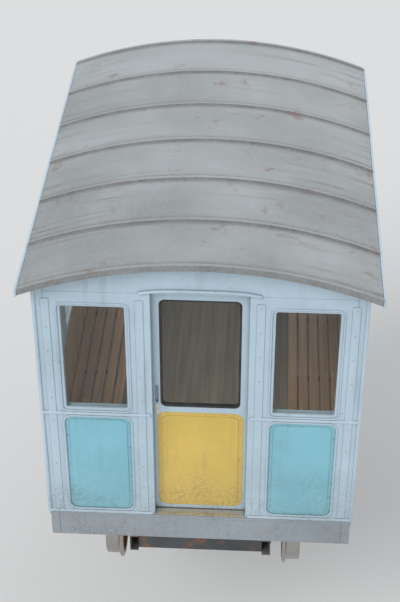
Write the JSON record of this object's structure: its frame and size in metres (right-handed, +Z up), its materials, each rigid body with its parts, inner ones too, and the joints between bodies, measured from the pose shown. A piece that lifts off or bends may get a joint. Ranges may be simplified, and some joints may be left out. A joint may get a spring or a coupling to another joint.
{
  "type": "funicular car",
  "caption": "Level passenger cabin with arched roof and sliding end doors on a wedge-shaped truck with flanged wheels, for a steep incline.",
  "frame": {"origin": "on the plane of the rail heads, midway between the rails and between the two axles", "axes": "+Z up, +Y downhill along the level cabin, +X to the right of a person who looks downhill; the rails fall 35 degrees towards +Y"},
  "size_m": [2.292, 3.12, 4.5294],
  "materials": {
    "truck_steel": "dark greasy paint over riveted steel",
    "cast_iron": "oily casting",
    "axle_steel": "greased turned steel",
    "wheel_steel": "rusty casting with a bright tread",
    "buffer_rubber": "matte",
    "sill_paint": "weathered blue-grey paint",
    "deck_wood": "worn boards",
    "roof_metal": "weathered grey paint on sheet",
    "inner_wood": "varnished",
    "frame_paint": "pale blue-grey gloss paint, weathered",
    "panel_turquoise": "turquoise gloss paint, weathered",
    "panel_yellow": "ochre yellow gloss paint, weathered",
    "window_glass": "clear",
    "bench_wood": "varnished slats",
    "fitting_steel": "satin",
    "bright_metal": "polished by hands and feet"
  },
  "bodies": {
    "car": {"top_chords": "truck_steel", "incline_chords": "truck_steel", "truck_posts": "truck_steel", "gusset_plates": "truck_steel", "truck_braces": "truck_steel", "cross_members": "truck_steel", "end_braces": "truck_steel", "axle_boxes": "cast_iron", "rope_drawbar": "truck_steel", "rope_clevises": "truck_steel", "brake_shaft": "axle_steel", "brake_hangers": "truck_steel", "brake_shoes": "cast_iron", "buffer_pads": "buffer_rubber", "side_sills": "sill_paint", "end_sills": "sill_paint", "floor_bearers": "truck_steel", "floor_deck": "deck_wood", "roof": "roof_metal", "roof_bows": "inner_wood", "gutters": "frame_paint", "left_side_wall": "frame_paint", "right_side_wall": "frame_paint", "side_panels": "panel_turquoise", "side_windows": "window_glass", "end_panels": "panel_turquoise", "end_windows": "window_glass", "door_thresholds": "bright_metal", "door_guides": "bright_metal", "bench_slats": "bench_wood", "bench_brackets": "fitting_steel", "handrails": "bright_metal", "uphill_left_bay": "frame_paint", "uphill_right_bay": "frame_paint", "uphill_gable": "frame_paint", "uphill_door_track": "fitting_steel", "downhill_left_bay": "frame_paint", "downhill_right_bay": "frame_paint", "downhill_gable": "frame_paint", "downhill_door_track": "fitting_steel"},
    "upper_wheelset": {"upper_axle": "axle_steel", "upper_wheels": "wheel_steel"},
    "lower_wheelset": {"lower_axle": "axle_steel", "lower_wheels": "wheel_steel"},
    "uphill_door_leaf": {"uphill_door": "frame_paint", "uphill_door_panel": "panel_yellow", "uphill_door_glass": "window_glass", "uphill_door_hangers": "fitting_steel", "uphill_door_handle": "bright_metal"},
    "downhill_door_leaf": {"downhill_door": "frame_paint", "downhill_door_panel": "panel_yellow", "downhill_door_glass": "window_glass", "downhill_door_hangers": "fitting_steel", "downhill_door_handle": "bright_metal"}
  },
  "joints": [
    {"name": "upper_wheels_turn", "type": "hinge", "parent": "car", "child": "upper_wheelset", "pos_m": [0, -0.83959, 0.89308], "axis": [1, 0, 0], "continuous": true},
    {"name": "lower_wheels_turn", "type": "hinge", "parent": "car", "child": "lower_wheelset", "pos_m": [0, 1.12638, -0.4835], "axis": [1, 0, 0], "continuous": true},
    {"name": "uphill_door_slide", "type": "slide", "parent": "car", "child": "uphill_door_leaf", "axis": [1, 0, 0], "range_m": [0, 0.62]},
    {"name": "downhill_door_slide", "type": "slide", "parent": "car", "child": "downhill_door_leaf", "axis": [-1, 0, 0], "range_m": [0, 0.62]}
  ]
}
